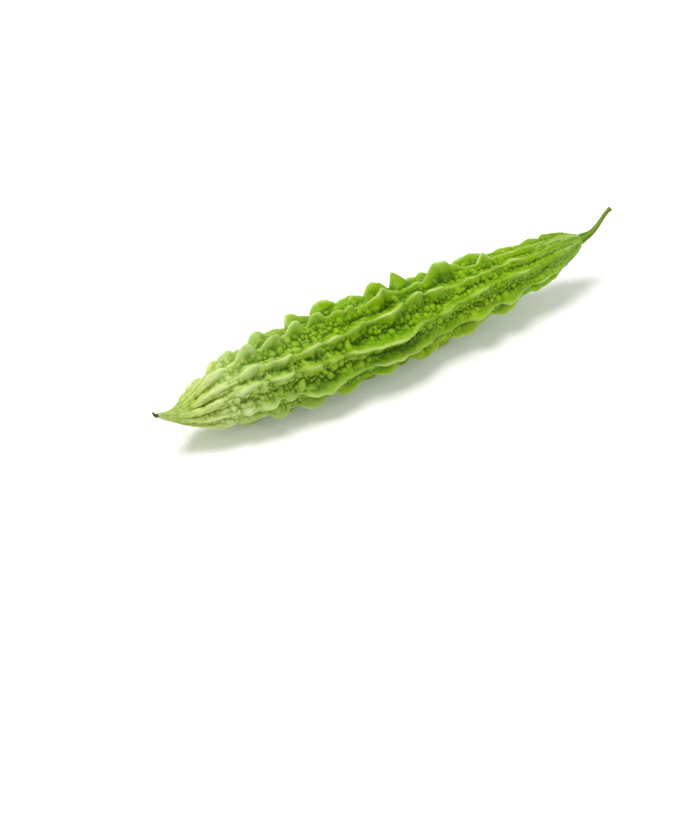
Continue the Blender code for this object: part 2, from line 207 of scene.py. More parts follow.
# fruit
# points of curves are in millimetres from the flower end, angles in degrees from the -Y side up towards +Z
# a pair is the size and the length of an unevenness, where no comment says otherwise
fruit = {
    "length": 250 * mm,
    "rings": 448,
    "sides": 220,
    "meanRadius": 17 * mm,
    "fullRadius": 14 * mm,  # ridges have their full width from here on
    "floorProfile": [(0, 1.2), (6, 2.4), (12, 3.9), (20, 6.2), (32, 9.8), (55, 13.8), (85, 15.8),
                     (115, 15.4), (150, 14.0), (185, 11.8), (215, 9.2), (236, 6.9), (244, 5.3), (248, 3.9),
                     (250, 2.5)],  # radius between the ridges
    "axisProfile": [(0, 23.2), (4, 21.0), (8, 19.5), (14, 18.4), (24, 18.2), (38, 19.0), (60, 20.0),
                    (110, 20.6), (140, 20.6), (180, 21.3), (225, 22.4), (250, 24.8)],  # height of the axis
    "sideBend": 0.5 * mm,
    "swell": (0.5 * mm, 26 * mm),
    "ridgeCount": 11,
    "firstRidge": 24.5,
    "halfRidge": 2 * mm,  # height over the floor at which angles are turned into lengths
    "wander": (1.4 * mm, 15 * mm),  # of the ridges, to both sides
    "waver": (0.7 * mm, 5 * mm),
    "ridgeHalfWidth": 5.2 * mm,
    "crestRound": 0.25 * mm,
    "flankPower": 1.6,  # above 1 the flanks are hollow
    "heightGain": 1.35,
    "pleats": (0.3, 2.4 * mm),  # share of the height of the flanks
    "crestJitter": (0.1, 4 * mm),  # share of the height of the crests
    "saddleShare": 0.47,  # of the mean height of a ridge's lobes, between them
    "saddleFade": 20 * mm,  # at both ends
    "lobePower": 2.2,
    "pointedPower": 1.15,  # of lobes higher than the next value
    "pointedFrom": 6.0 * mm,
    "lobeFullness": 0.75,
    "ruleStart": (6 * mm, 14 * mm),  # ranges of the ridges with no chosen lobes, here and below
    "ruleLengths": (11 * mm, 26 * mm),
    "rulePeaks": (0.3, 0.5),  # share of the length
    "ruleGaps": (0.5 * mm, 5 * mm),
    "ruleHeights": (4.0 * mm, 5.6 * mm),
    "ruleLast": (14 * mm, 4 * mm),  # before the stalk, where the last one starts and ends
    "fullFrom": 30 * mm,  # relief rises up to here
    "fadesFrom": 180 * mm,  # and falls from here on, to the next two shares
    "ridgesAtStalk": 0.42,
    "wartsAtStalk": 0.32,
    "endRound": 1.3 * mm,  # crests are rounder near both ends
    "folds": (0.9 * mm, 12 * mm, 40),  # near both ends, with their number round the fruit
    "foldsByFlower": (22 * mm, 60 * mm),  # full up to the first, none from the second on
    "foldsByStalk": (190 * mm, 225 * mm),  # none up to the first, full from the second on
    "foldShare": 0.8,  # how deep they are by the stalk
    "wartFree": 1.4 * mm,  # beside each crest
    "wartLimit": 4.2 * mm,  # no warts on what stands higher
    "wartRadii": [(1.9, 2.7), (1.3, 1.9), (0.9, 1.3), (0.65, 0.9)],  # mm, the largest laid first
    "wartTries": [600, 3500, 20000, 50000],
    "wartMargins": (10 * mm, 5 * mm),  # bare lengths at the flower end and at the stalk
    "wartCrowding": 0.75,  # 1 lets none overlap
    "wartHeight": 0.88,  # share of the radius
    "wartSpread": (0.75, 1.1),  # range of shares of that height
    "wartStretch": 1.2,  # longer near both ends, by up to this share
    "wartWarp": (0.6 * mm, 4.5 * mm),
    "wartDome": 0.7,
    "smallerFrom": (100 * mm, 140 * mm),  # warts shrink between these places
    "smallerSize": 0.85,  # to this share of their size
    "lumps": (0.3 * mm, 3.2 * mm),
    "crumples": (0.9 * mm, 5.5 * mm),
    "wrinkles": (0.5 * mm, 2.3 * mm),
    "paintedHighlight": 0.5 * mm,  # half width of the painted highlight line on a crest
    "highlightCrests": (1.5 * mm, 5 * mm),  # none on lower crests, full on higher ones
    "highlightBreaks": 7 * mm,
    "hollows": (2.2 * mm, 0.5 * mm),  # depths that shade fully, of ridges and warts and of wrinkles
    "valleys": 3.5 * mm,  # what stands higher is no valley
    "lines": (20 * mm, 36),  # length and number round
    "linesByFlower": (6 * mm, 32 * mm),  # full up to the first, none from the second on
    "linesByStalk": (208 * mm, 244 * mm),  # none up to the first, full from the second on
    "specks": 14,
    "speckRings": (100, 430),  # from the first up to the second
    "seed": 7,
}
fruit["lobes"] = {  # of the ridges underneath, on the -Y side and on top: (start, peak, end, height)
    7: [(14, 26, 38, 3.0), (42, 50, 60, 4.2), (64, 73, 84, 4.5), (86, 95, 104, 4.4),
        (107, 116, 124, 4.9), (127, 136, 148, 5.9), (151, 160, 172, 4.8), (176, 187, 200, 4.4),
        (204, 216, 232, 3.6)],
    8: [(10, 22, 34, 2.8), (37, 46, 56, 4.2), (58, 66, 75, 4.4), (78, 88, 100, 4.5),
        (103, 111, 120, 4.5), (122, 132, 142, 5.9), (146, 156, 168, 5.0), (170, 180, 192, 4.4),
        (196, 210, 228, 3.8)],
    9: [(5, 20, 43, 3.2), (50, 57, 64, 4.0), (66, 73, 84, 5.2), (86, 92, 105, 4.8),
        (109, 117, 127, 4.6), (131, 140, 152, 4.6), (156, 166, 178, 4.4), (182, 194, 206, 4.6),
        (208, 220, 238, 4.0)],
    10: [(8, 20, 34, 3.6), (35, 39, 44, 4.0), (44, 49, 56, 4.6), (56, 60, 64, 3.6),
         (66, 75, 103, 5.2), (105, 117, 148, 5.4), (164, 172, 184, 4.8), (186, 194, 206, 4.6),
         (208, 220, 238, 4.0)],
    0: [(8, 19, 31, 3.8), (32, 41, 49, 3.6), (50, 58, 66, 4.0), (67, 72, 80, 3.9),
        (81, 84, 88, 3.2), (89, 112, 142, 4.8), (147, 153, 160, 3.2), (166, 174, 183, 3.9),
        (188, 198, 212, 3.2), (219, 230, 242, 2.4)],
    1: [(13, 24, 36, 4.2), (37, 46, 53, 4.6), (53, 60, 68, 5.0), (70, 76, 83, 4.6),
        (83, 88, 93, 4.4), (94, 101, 109, 5.0), (112, 126, 133, 5.4), (131, 139, 146, 6.4),
        (145, 151, 158, 4.8), (166, 171, 177, 3.0), (190, 202, 216, 3.0), (222, 234, 246, 2.4)],
    2: [(19, 28, 40, 4.4), (41, 50, 54, 5.8), (55, 61, 69, 5.4), (70, 75, 81, 5.6),
        (82, 87, 93, 5.4), (94, 98, 103, 4.8), (101, 105, 109, 4.4), (113, 123, 134, 7.6),
        (140, 145, 150, 3.0), (148, 158, 178, 7.7), (181, 186, 193, 6.6), (194, 205, 217, 2.8),
        (224, 236, 247, 2.2)],
    3: [(30, 36, 41, 4.2), (40, 44, 49, 4.8), (54, 59, 66, 5.6), (75, 79, 92, 6.2),
        (90, 97, 108, 5.8), (111, 115, 118, 3.4), (119, 127, 137, 5.2), (136, 140, 149, 6.6),
        (151, 155, 161, 3.0), (172, 184, 196, 4.4), (196, 202, 208, 2.6), (227, 230, 245, 4.2)],
}
fruit["ridgeTurns"] = {  # where ridges leave their even spacing: (along, degrees)
    10: [(0, 0), (90, -3), (250, 0)],
    0: [(0, 0), (40, 6), (75, 5), (90, 1), (122, -8), (146, 0), (195, 11), (250, 0)],
    1: [(0, 0), (60, 0), (126, 3), (139, 7), (151, 1), (200, 6), (250, 0)],
    2: [(0, 0), (150, 0), (160, 4), (186, -4), (250, 0)],
}
fruit["colours"] = {  # ramps run from hollows to tops, darker in the hollows as painted shade and paler on the tops as painted highlight; shares from the flower end to the stalk
    "body": [(0.3, "#6f9c00"), (0.6, "#78a306"), (0.95, "#83aa1e")],
    "pale": [(0.3, "#bccb78"), (0.6, "#ccd894"), (0.95, "#dbe4b6")],
    "paleShare": [(0.0, 1), (0.1, 0.95), (0.18, 0.5), (0.25, 0.2), (0.38, 0), (0.85, 0), (1.0, 0.15)],
    # painted shade, multiplied into the creases
    "creases": [(0.08, "#7d9440"), (0.3, "#b5c67e"), (0.45, "#e4ecc4"), (0.58, "#ffffff")],
    "creaseShadeShare": [(0.07, 1), (0.12, 0.5), (0.17, 0.6), (0.23, 1)],
    "stalkHalf": [(0.52, 0), (0.68, 1)],
    "patterns": {  # size, detail and roughness
        "patches": (21 * mm, 2, 0.5),
        "blotches": (9 * mm, 3, 0.6),
        "mottling": (5 * mm, 3, 0.6),
        "pebbles": (2.3 * mm, 2, 0.5),
        "pores": (1.1 * mm, 2, 0.6),  # real ones of about 0.2 mm are too fine to show
    },
    "spots": {  # where a pattern lets its tint show
        "yellowed": ("patches", [(0.5, 0), (0.68, 1)]),
        "deepened": ("mottling", [(0.34, 1), (0.5, 0)]),
        "lightened": ("mottling", [(0.54, 0), (0.7, 1)]),
    },
    "tints": {  # share and colour, laid on in this order
        "valley": (0.25, "#8fae00"),
        "yellowed": (0.35, "#a9b91e"),
        "deepened": (0.35, "#568a00"),
        "lightened": (0.35, "#a3c840"),
        "stalkHalf": (0.2, "#93bf10"),
        # painted highlight, a pale line along the higher crests
        "paintedHighlight": (0.9, "#cbdd86"),
        "streak": (0.5, "#c0d49a"),
        "vein": (0.7, "#4f8212"),
    },
    "specks": "#2f2a0c",
}


def floorRadius(along):
    return smoothCurve(fruit["floorProfile"], along)


def noise(along, angle, size, seed, turns=0):  # smooth, from -1 to 1, closed round the fruit
    turns = turns or max(3, round(2 * math.pi * fruit["meanRadius"] / size))
    rows = int(fruit["length"] / size) + 3
    grid = np.random.default_rng(seed).uniform(-1, 1, (rows, turns))
    u = np.clip(along / size, 0, rows - 2)
    v = (angle / (2 * math.pi)) % 1 * turns
    i, j = np.floor(u).astype(int), np.floor(v).astype(int)
    a, b = smoothstep(u - i), smoothstep(v - j)
    i1, j0, j1 = np.minimum(i + 1, rows - 1), j % turns, (j + 1) % turns
    low = grid[i, j0] * (1 - b) + grid[i, j1] * b
    high = grid[i1, j0] * (1 - b) + grid[i1, j1] * b
    return low * (1 - a) + high * a


def creased(along, angle, size, seed, turns=0):  # from 0 in winding creases to 1 on the swellings
    turns = turns or round(2 * math.pi * fruit["meanRadius"] / size)
    alongWarp = along + 0.25 * size * noise(along, angle, size, seed + 20, turns // 2)
    angleWarp = angle + 1.5 / turns * noise(along, angle, size, seed + 30, turns // 2)
    return np.abs(noise(alongWarp, angleWarp, size, seed, turns))


def reliefStrength(along, atStalk):  # 0 at the flower end, 1 over most of the fruit, atStalk at the stalk
    rise = smoothstep(along / fruit["fullFrom"]) ** 0.8
    fade = smoothstep((along - fruit["fadesFrom"]) / (fruit["length"] - fruit["fadesFrom"]))
    return rise * (1 - (1 - atStalk) * fade)


def nearEnds(along):
    atStalk = fruit["foldShare"] * between(along, fruit["foldsByStalk"])
    return 1 - between(along, fruit["foldsByFlower"]) + atStalk


def ridgeAngle(number, along):
    angle = math.radians(fruit["firstRidge"]) + 2 * math.pi * number / fruit["ridgeCount"]
    reach, size = fruit["wander"]
    shift = noise(along, np.full_like(along, angle), size, fruit["seed"] + 2) * reach
    reach, size = fruit["waver"]
    shift += noise(along, np.full_like(along, angle), size, fruit["seed"] + 15) * reach
    turns = fruit["ridgeTurns"].get(number)
    own = smoothCurve(turns, along) / mm if turns else 0
    shift *= reliefStrength(along, fruit["wartsAtStalk"]) / fruit["fullRadius"]
    return angle + np.radians(own) + shift


def lobesByRule(rng):
    lobes = []
    lastStart, lastEnd = [fruit["length"] - before for before in fruit["ruleLast"]]
    start = rng.uniform(*fruit["ruleStart"])
    while start < lastStart:
        end = min(start + rng.uniform(*fruit["ruleLengths"]), lastEnd)
        peak = start + (end - start) * rng.uniform(*fruit["rulePeaks"])
        lobes.append((start, peak, end, rng.uniform(*fruit["ruleHeights"])))
        start = end + rng.uniform(*fruit["ruleGaps"])
    return lobes


def allLobes():
    rng = np.random.default_rng(fruit["seed"])
    ridges = {}
    for number in range(fruit["ridgeCount"]):
        if number in fruit["lobes"]:
            ridges[number] = [tuple(v * mm for v in lobe) for lobe in fruit["lobes"][number]]
        else:
            ridges[number] = lobesByRule(rng)
    return ridges


def crestHeight(lobes, along):
    height = np.zeros_like(along)
    for start, peak, end, top in lobes:
        away = np.where(along < peak, (peak - along) / (peak - start), (along - peak) / (end - peak))
        power = fruit["pointedPower"] if top > fruit["pointedFrom"] else fruit["lobePower"]
        arch = np.clip(1 - np.clip(away, 0, 1) ** power, 0, 1) ** fruit["lobeFullness"]
        height = np.maximum(height, top * arch)
    mean = np.mean([lobe[-1] for lobe in lobes])
    toEnd = np.minimum(along, fruit["length"] - along)
    saddle = fruit["saddleShare"] * mean * smoothstep(toEnd / fruit["saddleFade"])
    return np.maximum(height, saddle)


def turnBetween(angle, other):  # the short way round
    return (angle - other + math.pi) % (2 * math.pi) - math.pi


def ridgeRelief(along, angle):
    radius = floorRadius(along)
    relief = np.zeros_like(along)
    paintedHighlight = np.zeros_like(along)
    jitter, jitterSize = fruit["crestJitter"]
    depth, pleatSize = fruit["pleats"]
    for number, lobes in allLobes().items():
        across = np.abs(turnBetween(angle, ridgeAngle(number, along))) * (radius + fruit["halfRidge"])
        row = np.full_like(along, 2 * math.pi * number / fruit["ridgeCount"])
        crest = crestHeight(lobes, along) * fruit["heightGain"]
        crest *= 1 + jitter * noise(along, row, jitterSize, fruit["seed"] + 6)
        width = fruit["ridgeHalfWidth"] * np.clip(radius / fruit["fullRadius"], 0.1, 1)
        bend = fruit["crestRound"] + fruit["endRound"] * nearEnds(along)
        rounded = np.hypot(across, bend) - bend
        section = np.clip(1 - rounded / width, 0, 1) ** fruit["flankPower"]
        section *= 1 + depth * noise(along, row, pleatSize, fruit["seed"] + 5) * (1 - section)
        relief = np.maximum(relief, crest * section)
        # a painted highlight line along each higher crest
        line = np.exp(-(across / fruit["paintedHighlight"]) ** 2)
        paintedHighlight = np.maximum(paintedHighlight, line * between(crest, fruit["highlightCrests"]))
    return relief * reliefStrength(along, fruit["ridgesAtStalk"]), paintedHighlight


def layWarts():  # (along, angle, radius, height share) of each, none on a ridge and none far over another
    rng = np.random.default_rng(fruit["seed"] + 1)
    found = np.empty((sum(fruit["wartTries"]), 4))
    count = 0
    byFlower, byStalk = fruit["wartMargins"]
    for radii, tries in zip(fruit["wartRadii"], fruit["wartTries"]):
        along = rng.uniform(byFlower, fruit["length"] - byStalk, tries)
        angle = rng.uniform(-math.pi, math.pi, tries)
        radius = floorRadius(along)
        small = between(along, fruit["smallerFrom"])
        size = rng.uniform(*radii, tries) * mm * (1 - (1 - fruit["smallerSize"]) * small)
        height = rng.uniform(*fruit["wartSpread"], tries)
        ridges = np.stack([ridgeAngle(k, along) for k in range(fruit["ridgeCount"])])
        toRidge = np.abs(turnBetween(angle, ridges)).min(0) * (radius + fruit["halfRidge"])
        room = fruit["wartFree"] * np.clip(radius / (13 * mm), 0.12, 1)  # less where the fruit is thin
        wanted = rng.uniform(size=tries) < (radius + 4 * mm) / (18 * mm)  # and fewer there
        for k in np.nonzero((toRidge > room + size * 0.5) & wanted)[0]:
            others = found[:count]
            sideGap = turnBetween(others[:, 1], angle[k]) * (radius[k] + mm)
            gap = np.hypot(others[:, 0] - along[k], sideGap)
            if (gap < fruit["wartCrowding"] * (others[:, 2] + size[k])).any():
                continue
            found[count] = along[k], angle[k], size[k], height[k]
            count += 1
    return found[:count]


def wartRelief(along, angle):
    relief = np.zeros_like(along)
    rows = along[:, 0]
    push, pushSize = fruit["wartWarp"]
    alongWarp = along + push * noise(along, angle, pushSize, fruit["seed"] + 7)
    angleWarp = angle + push / (15 * mm) * noise(along, angle, pushSize, fruit["seed"] + 8)
    for centre, turned, size, height in layWarts():
        strength = float(reliefStrength(centre, fruit["wartsAtStalk"]))
        stretch = 1 + fruit["wartStretch"] * (1 - strength)
        near = np.nonzero(np.abs(rows - centre) < size * stretch + push)[0]
        if not len(near):
            continue
        patch = slice(near[0], near[-1] + 1)
        across = turnBetween(angleWarp[patch], turned) * (floorRadius(along[patch]) + mm)
        fromCentre = ((alongWarp[patch] - centre) / (size * stretch)) ** 2 + (across / size) ** 2
        dome = np.clip(1 - fromCentre, 0, 1) ** fruit["wartDome"]
        relief[patch] = np.maximum(relief[patch], dome * size * height * fruit["wartHeight"])
    return relief * reliefStrength(along, fruit["wartsAtStalk"])


def blurred(field, reach):  # mean over a square of the surface, closed round the fruit
    around, over = reach
    total = sum(np.roll(field, k, 1) for k in range(-around, around + 1)) / (2 * around + 1)
    padded = np.pad(total, ((over, over), (0, 0)), mode="edge")
    return sum(padded[k:k + len(field)] for k in range(2 * over + 1)) / (2 * over + 1)


bpy.ops.object.select_all(action="DESELECT")
bpy.ops.mesh.primitive_uv_sphere_add(segments=fruit["sides"], ring_count=fruit["rings"], radius=1)
body = startPiece("fruitBody")
bpy.ops.object.mode_set(mode="EDIT")
bpy.ops.mesh.select_all(action="SELECT")
bpy.ops.mesh.flip_normals()  # the rings are laid along X below, which turns them over
bpy.ops.object.mode_set(mode="OBJECT")
sphere = readPoints(body.data)
ring = np.rint(np.arccos(np.clip(-sphere[:, 2], -1, 1)) / math.pi * fruit["rings"]).astype(int)
side = np.rint(np.arctan2(sphere[:, 1], sphere[:, 0]) / (2 * math.pi) * fruit["sides"]).astype(int)
side %= fruit["sides"]
along, angle = np.meshgrid(
    np.arange(fruit["rings"] + 1) / fruit["rings"] * fruit["length"],
    np.arange(fruit["sides"]) / fruit["sides"] * 2 * math.pi,
    indexing="ij",
)
ridges, paintedHighlight = ridgeRelief(along, angle)
warts = wartRelief(along, angle)
relief = ridges + warts * (1 - smoothstep(ridges / fruit["wartLimit"]))
lumpHeight, lumpSize = fruit["lumps"]
lumps = lumpHeight * noise(along, angle, lumpSize, fruit["seed"] + 3)
lumps *= np.clip(relief / (3 * mm), 0.2, 1)
swellHeight, swellSize = fruit["swell"]
swell = swellHeight * noise(along, angle, swellSize, fruit["seed"] + 4)
foldHeight, foldLength, foldCount = fruit["folds"]
folds = foldHeight * creased(along, angle, foldLength, fruit["seed"] + 9, foldCount) ** 0.6
folds *= nearEnds(along) * np.clip(floorRadius(along) / (9 * mm), 0.1, 1)
crumpleHeight, crumpleSize = fruit["crumples"]
crumples = crumpleHeight * (creased(along, angle, crumpleSize, fruit["seed"] + 14) ** 0.7 - 0.4)
wrinkleHeight, wrinkleSize = fruit["wrinkles"]
wrinkles = wrinkleHeight * (creased(along, angle, wrinkleSize, fruit["seed"] + 16) ** 0.7 - 0.4)
wrinkles *= np.clip(ridges / (2.5 * mm), 0.3, 1) * reliefStrength(along, 1)
uneven = (lumps + swell + crumples) * reliefStrength(along, 0.6) + wrinkles
radius = floorRadius(along) + relief + folds + uneven
radius[0] = radius[-1] = 0
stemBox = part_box("stem")
stemMiddle = (stemBox[0].y + stemBox[1].y) / 2
offset = Vector((stemBox[0].x - middleFromStalk, stemMiddle - fruit["sideBend"], 0))
axisHeight = smoothCurve(fruit["axisProfile"], along)
sideways = fruit["sideBend"] * (2 * along / fruit["length"] - 1) ** 2
place = np.stack([
    offset.x + along - fruit["length"] / 2,
    offset.y + sideways - radius * np.cos(angle),
    np.maximum(axisHeight + radius * np.sin(angle), 0),  # the lowest crests are pressed flat
], -1)
writePoints(body.data, place[ring, side])

# what the skin reads: where the surface is hollow or raised, for painted shade and painted highlight, where
# the painted crest highlight runs, and where its lines and specks are
broadDepth, fineDepth = fruit["hollows"]
broad = (radius - blurred(blurred(radius, (5, 4)), (5, 4))) / broadDepth
fineHollow = (radius - blurred(radius, (2, 1))) / fineDepth * (1 + 0.5 * nearEnds(along))
lineLength, lineCount = fruit["lines"]
lines = noise(along, angle, lineLength, fruit["seed"] + 10, lineCount)
nearStalk = between(along, fruit["linesByStalk"])
nearFlower = 1 - between(along, fruit["linesByFlower"])
specks = np.zeros_like(along)
draw = np.random.default_rng(fruit["seed"] + 11)
speckRing = draw.integers(*fruit["speckRings"], fruit["specks"])
specks[speckRing, draw.integers(0, fruit["sides"], fruit["specks"])] = 1
# breaks in the painted crest highlight
highlightNoise = noise(along, angle, fruit["highlightBreaks"], fruit["seed"] + 17)
highlightBreaks = 0.35 + 0.65 * between(highlightNoise, (-0.5, 0.5))
fields = {
    "cavity": np.clip(0.5 + 0.35 * broad + 0.3 * fineHollow, 0, 1),
    "valley": 1 - between(ridges, (0, fruit["valleys"])),
    "streak": between(lines, (0.1, 0.6)) * nearStalk,
    "vein": between(-lines, (0.05, 0.55)) * (nearStalk + 0.35 * nearFlower),
    "speck": specks,
    "paintedHighlight": paintedHighlight * highlightBreaks,
    "along": along / fruit["length"],
}
for name, field in fields.items():
    writeAttribute(body.data, name, field[ring, side])
bpy.ops.object.shade_smooth()
print("fruit shaped")

# waxy skin of a fresh fruit: painted highlight on the tops, painted deep green shade in the creases and a
# soft gloss, tinted by the green below it
skin, tree = newMaterial("waxy_gourd_skin")
colours = fruit["colours"]
read = {name: addNode(tree, "ShaderNodeAttribute", {"attribute_name": name}).outputs["Fac"]
        for name in fields}  # what the shape wrote at each of its points
objectAt = addNode(tree, "ShaderNodeTexCoord").outputs["Object"]
patterns = {}
for name, (size, detail, roughness) in colours["patterns"].items():
    values = {"Scale": 1 / size, "Detail": detail, "Roughness": roughness}
    patterns[name] = addNode(tree, "ShaderNodeTexNoise", values=values, links={"Vector": objectAt})
tone = addNode(tree, "ShaderNodeMath", {"operation": "MULTIPLY_ADD"}, {1: 0.22, 2: -0.11},
               {0: patterns["blotches"]})
# shade: how hollow the surface is, with some random tone; it drives painted shade in hollows and painted
# highlight on tops
shade = addNode(tree, "ShaderNodeMath", {"operation": "ADD"}, links={0: read["cavity"], 1: tone})
bodyTone = addNode(tree, "ShaderNodeValToRGB", links={"Fac": shade}, stops=colours["body"])
paleTone = addNode(tree, "ShaderNodeValToRGB", links={"Fac": shade}, stops=colours["pale"])
paleShare = addNode(tree, "ShaderNodeValToRGB", links={"Fac": read["along"]}, stops=colours["paleShare"])
base = addNode(tree, "ShaderNodeMix", {"data_type": "RGBA"}, links={0: paleShare, 6: bodyTone, 7: paleTone})
masks = dict(read)  # where each tint goes
for name, (pattern, stops) in colours["spots"].items():
    masks[name] = addNode(tree, "ShaderNodeValToRGB", links={"Fac": patterns[pattern]}, stops=stops)
masks["stalkHalf"] = addNode(tree, "ShaderNodeValToRGB", links={"Fac": read["along"]},
                             stops=colours["stalkHalf"])
last = base.outputs[2]
for name, (share, tint) in colours["tints"].items():
    amount = addNode(tree, "ShaderNodeMath", {"operation": "MULTIPLY"}, {1: share}, {0: masks[name]})
    layer = addNode(tree, "ShaderNodeMix", {"data_type": "RGBA"}, {7: hexColour(tint)},
                    {0: amount, 6: last})
    last = layer.outputs[2]
# painted shade in the creases, weaker in a band near the flower end
paintedCreaseShade = addNode(tree, "ShaderNodeValToRGB", links={"Fac": shade}, stops=colours["creases"])
creaseShadeShare = addNode(tree, "ShaderNodeValToRGB", links={"Fac": read["along"]}, stops=colours["creaseShadeShare"])
darkened = addNode(tree, "ShaderNodeMix", {"data_type": "RGBA", "blend_type": "MULTIPLY"},
                   links={0: creaseShadeShare, 6: last, 7: paintedCreaseShade})
specked = addNode(tree, "ShaderNodeMix", {"data_type": "RGBA"}, {7: hexColour(colours["specks"])},
                  {0: read["speck"], 6: darkened.outputs[2]})
coarse = addNode(tree, "ShaderNodeBump", values={"Strength": 0.5, "Distance": 0.4 * mm},
                 links={"Height": patterns["pebbles"]})
fine = addNode(tree, "ShaderNodeBump", values={"Strength": 0.35, "Distance": 0.15 * mm},
               links={"Height": patterns["pores"], "Normal": coarse})
shader = addNode(tree, "ShaderNodeBsdfPrincipled", values={
    "Roughness": 0.42,
    "IOR": 1.45,
    "Specular IOR Level": 0.3,
    "Specular Tint": (0.9, 1.0, 0.35, 1.0),
    "Subsurface Weight": 0.1,
    "Subsurface Scale": 1.5 * mm,
    "Subsurface Radius": (0.7, 1.0, 0.2),
}, links={"Base Color": specked.outputs[2], "Normal": fine})
addNode(tree, "ShaderNodeOutputMaterial", links={"Surface": shader})
body.data.materials.append(skin)
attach(body, "root")
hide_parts("fruit")

# stalk
# the route is in millimetres from the end of the fruit: (along, up, radius)
stalk = {
    "route": [(-4, 0, 1.5), (-1.5, 0.1, 2.0), (-0.3, 0.3, 2.5), (0.3, 0.35, 2.5), (1.6, 0.5, 2.4),
              (3.2, 0.7, 2.1), (5.2, 0.95, 1.8), (7.3, 1.4, 1.5), (9.6, 2.6, 1.3), (12.0, 4.5, 1.12),
              (14.5, 7.1, 1.02), (17.3, 9.8, 1.0), (19.2, 11.0, 1.12), (19.9, 11.4, 1.2)],
    "length": 26 * mm,  # of the route, roughly
    "sides": 60,
    "rings": 90,
    "ribs": 5,
    "ribDepth": 0.13,  # share of the radius
    "fineRibs": (15, 0.03),  # number and share of the radius
    "twist": 40,  # degrees over its length
    "knots": (0.05 * mm, 2.2 * mm),
    "cutHollow": 0.35 * mm,
    "smoothBelow": 50,  # degrees between faces, so that the cut keeps its edge
    "fibres": mm / 1.4,  # 0.7 mm, as real ones of 0.1 mm are too fine to show
    "mottles": mm / 0.35,  # 2.9 mm
    "colours": [(0.1, "#5f8c10"), (0.35, "#6b921c"), (0.7, "#769328"), (0.93, "#788020"), (1.0, "#6a5f2b")],
    # painted shade in the grooves between the ribs
    "grooves": [(0.0, "#8a8f86"), (0.35, "#c9cfc0"), (1.0, "#ffffff")],
    "patchColour": "#93ae48",
    "cutColour": "#a9a86a",
}
lastRing = 0.999  # the share of the way along a tube past which a point is on its end


def sweep(piece, route, rings, start, outwards, shapeRing):  # lays an upright tube along a smooth route
    points = readPoints(piece.data)
    column = np.array(route, float)
    reach = np.concatenate([[0], np.cumsum(np.hypot(np.diff(column[:, 0]), np.diff(column[:, 1])))])
    step = np.clip(points[:, 2] / rings, 0, 1)  # the tube stands on end, one unit to a ring
    at = step * reach[-1]
    nudge = 0.05  # mm, to find the way that the route points
    path, ahead, behind = [
        [smoothCurve(np.stack([reach, values], 1), (at + shift) * mm) for values in column.T]
        for shift in (0, nudge, -nudge)
    ]
    out, up = ahead[0] - behind[0], ahead[1] - behind[1]
    long = np.hypot(out, up)
    out, up = out / long, up / long
    turned = np.arctan2(points[:, 1], points[:, 0])
    wide = np.hypot(points[:, 0], points[:, 1])  # 1 on the skin, less towards the middle of an end
    across, push = shapeRing(step, turned, path[2], wide)
    points[:, 0] = start[0] + outwards * (path[0] + across * np.sin(turned) * -up + push * out)
    points[:, 1] = start[1] + across * np.cos(turned)
    points[:, 2] = start[2] + path[1] + across * np.sin(turned) * out + push * up
    writePoints(piece.data, points)
    return step, turned, wide


def startTube(name, sides, rings):  # a disc drawn out ring by ring, with rings set in at its far end
    bpy.ops.object.select_all(action="DESELECT")
    bpy.ops.mesh.primitive_circle_add(vertices=sides, radius=1, fill_type="TRIFAN", location=(0, 0, 0))
    tube = startPiece(name)
    bpy.ops.object.mode_set(mode="EDIT")
    bpy.ops.mesh.select_all(action="SELECT")
    for k in range(rings):
        bpy.ops.mesh.extrude_region_move(TRANSFORM_OT_translate={"value": (0, 0, 1)})
    for inset in (0.06, 0.14, 0.25, 0.25):  # shares of its radius
        bpy.ops.mesh.inset(thickness=inset, depth=0)
    bpy.ops.mesh.select_all(action="SELECT")
    bpy.ops.mesh.normals_make_consistent(inside=False)
    bpy.ops.object.mode_set(mode="OBJECT")
    return tube


def stalkRing(step, turned, thick, wide):
    spun = turned + math.radians(stalk["twist"]) * step
    fine, fineDepth = stalk["fineRibs"]
    ribbed = 1 + stalk["ribDepth"] * (np.abs(np.cos(stalk["ribs"] / 2 * spun)) * 2 - 1.3)
    ribbed += fineDepth * np.cos(fine * spun)
    height, length = stalk["knots"]
    knots = height * noise(step * stalk["length"], turned, length, fruit["seed"] + 12, stalk["ribs"])
    hollow = np.where(step > lastRing, -stalk["cutHollow"] * (1 - between(wide, (0.4, 0.9))), 0)
    return (thick * ribbed + knots) * wide, hollow


endHeight = float(axisHeight[-1, 0])
fruitEnd = Vector((offset.x + fruit["length"] / 2, offset.y + fruit["sideBend"], endHeight))
stem = startTube("stalkAndCut", stalk["sides"], stalk["rings"])
step, turned, wide = sweep(stem, stalk["route"], stalk["rings"], fruitEnd, 1, stalkRing)
spun = turned + math.radians(stalk["twist"]) * step
writeAttribute(stem.data, "rib", np.clip(np.abs(np.cos(stalk["ribs"] / 2 * spun)), 0, 1))
writeAttribute(stem.data, "out", step)
writeAttribute(stem.data, "cut", np.where(step > lastRing, 1 - between(wide, (0.8, 0.95)), 0))
bpy.ops.object.shade_smooth_by_angle(angle=math.radians(stalk["smoothBelow"]))
print("stalk shaped")

